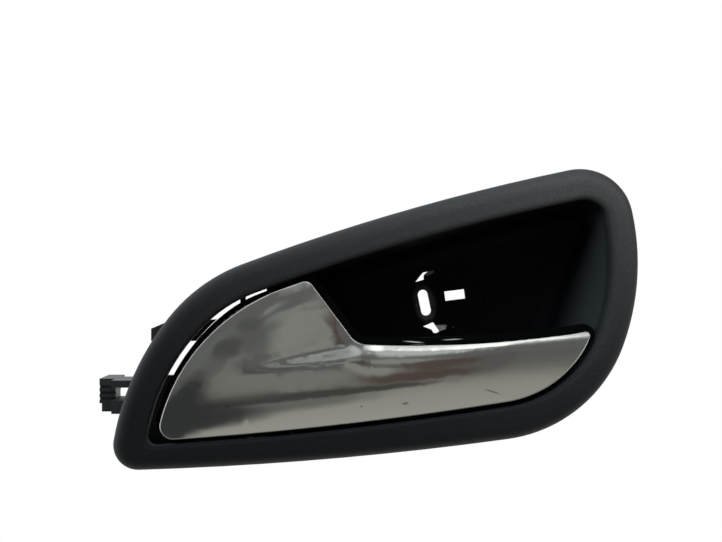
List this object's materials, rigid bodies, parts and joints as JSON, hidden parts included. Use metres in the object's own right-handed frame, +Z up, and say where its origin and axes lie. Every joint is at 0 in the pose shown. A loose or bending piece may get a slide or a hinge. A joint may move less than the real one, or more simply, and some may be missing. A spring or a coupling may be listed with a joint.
{
  "type": "car interior door handle",
  "caption": "Inside release handle of a car door: black bezel with a finger bowl, satin-chrome pull lever on a sprung pivot, and a rear carrier with a cable holder.",
  "frame": {"origin": "centre of the main screw slot, on the seat at the back of the bowl floor", "axes": "+X to the right along the handle as seen from the seat, +Y into the door, +Z up"},
  "size_m": [0.1783, 0.041, 0.098],
  "materials": {
    "grained_plastic": "fine grain, matte",
    "satin_chrome": "satin",
    "lever_plastic": "matte",
    "carrier_plastic": "as moulded",
    "steel": "ground",
    "spring_steel": "drawn wire",
    "buffer_rubber": "matte",
    "zinc_steel": "zinc plated"
  },
  "bodies": {
    "housing": {"bezel": "grained_plastic", "chassis": "carrier_plastic", "pivot_pin": "steel", "rest_buffer": "buffer_rubber", "chassis_screws": "zinc_steel", "return_spring": "spring_steel"},
    "lever": {"lever_cover": "satin_chrome", "lever_core": "lever_plastic"}
  },
  "joints": [
    {"name": "lever_pull", "type": "hinge", "parent": "housing", "child": "lever", "pos_m": [-0.0665, -0.0315, -0.0272], "axis": [0.1132, 0, -0.9936], "range_deg": [0, 23], "stiffness_Nm_per_rad": 0.35, "springref_deg": -34.38, "deforming": ["return_spring"]}
  ]
}
